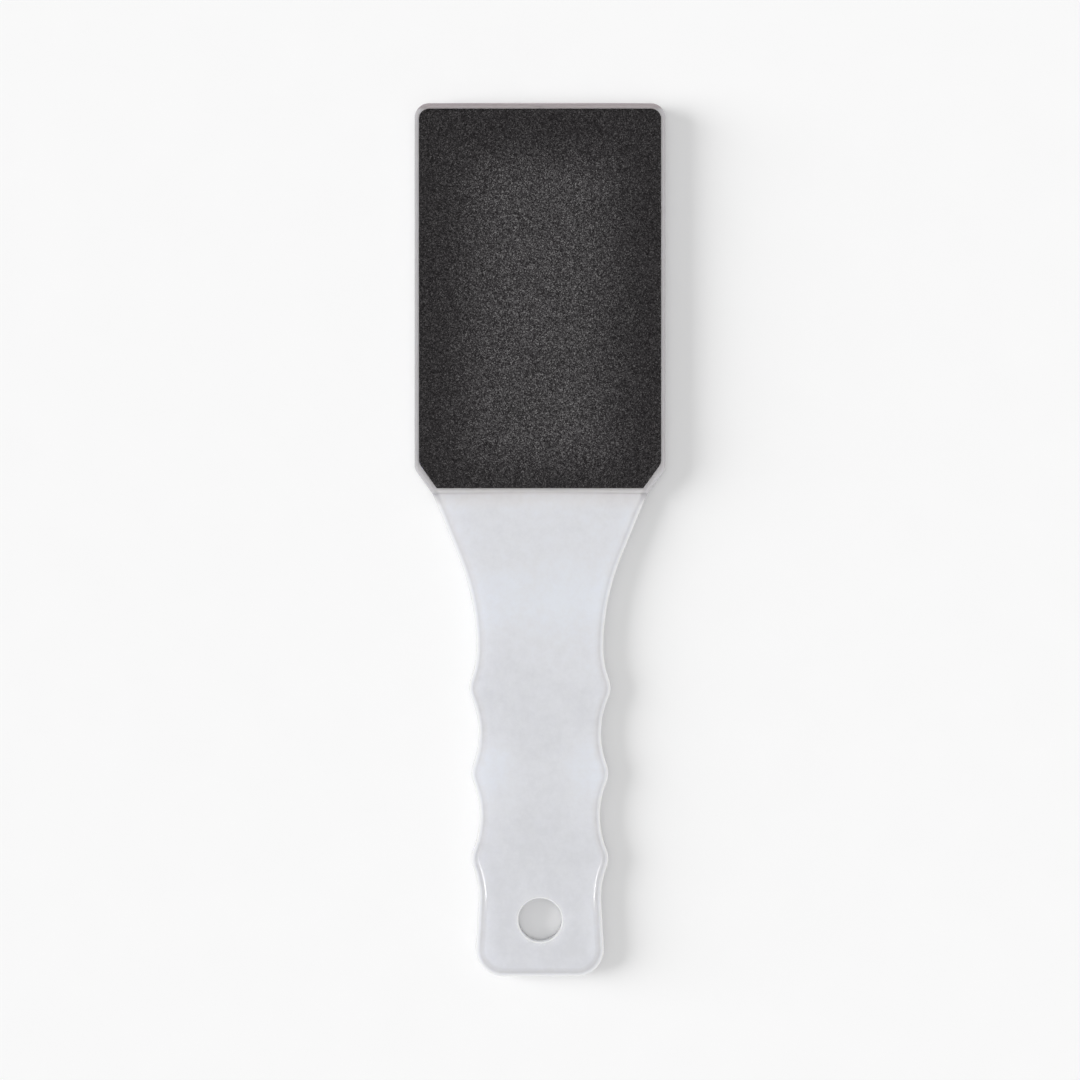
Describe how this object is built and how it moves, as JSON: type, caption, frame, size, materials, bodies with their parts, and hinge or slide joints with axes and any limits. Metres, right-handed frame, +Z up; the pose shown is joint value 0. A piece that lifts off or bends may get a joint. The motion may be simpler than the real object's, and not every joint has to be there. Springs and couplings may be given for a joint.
{
  "type": "foot file",
  "caption": "Paddle-shaped foot file: moulded plastic handle with finger grooves and a hanging hole, and an abrasive sheet stuck on each face of its flat head.",
  "frame": {"origin": "bottom centre of the bounding box: under the middle of the file's length, on the surface that the rear abrasive face rests on", "axes": "+Y along the file from the tail to the head, +Z up out of the front abrasive face, +X across"},
  "size_m": [0.0718, 0.25, 0.0072],
  "materials": {
    "milky_plastic": "milky white moulded polystyrene, glossy, slightly translucent",
    "adhesive": "thin acrylic pressure-sensitive film, seen only at its edge",
    "backing_paper": "dark latex-saturated paper, matt, seen only at its cut edge",
    "front_grit": "black silicon-carbide grains in resin, coarse",
    "rear_grit": "black silicon-carbide grains in resin, finer than the front"
  },
  "bodies": {
    "root": {"paddle": "milky_plastic", "front_adhesive_film": "adhesive", "front_backing_sheet": "backing_paper", "front_grit_coat": "front_grit", "rear_adhesive_film": "adhesive", "rear_backing_sheet": "backing_paper", "rear_grit_coat": "rear_grit"}
  },
  "joints": []
}
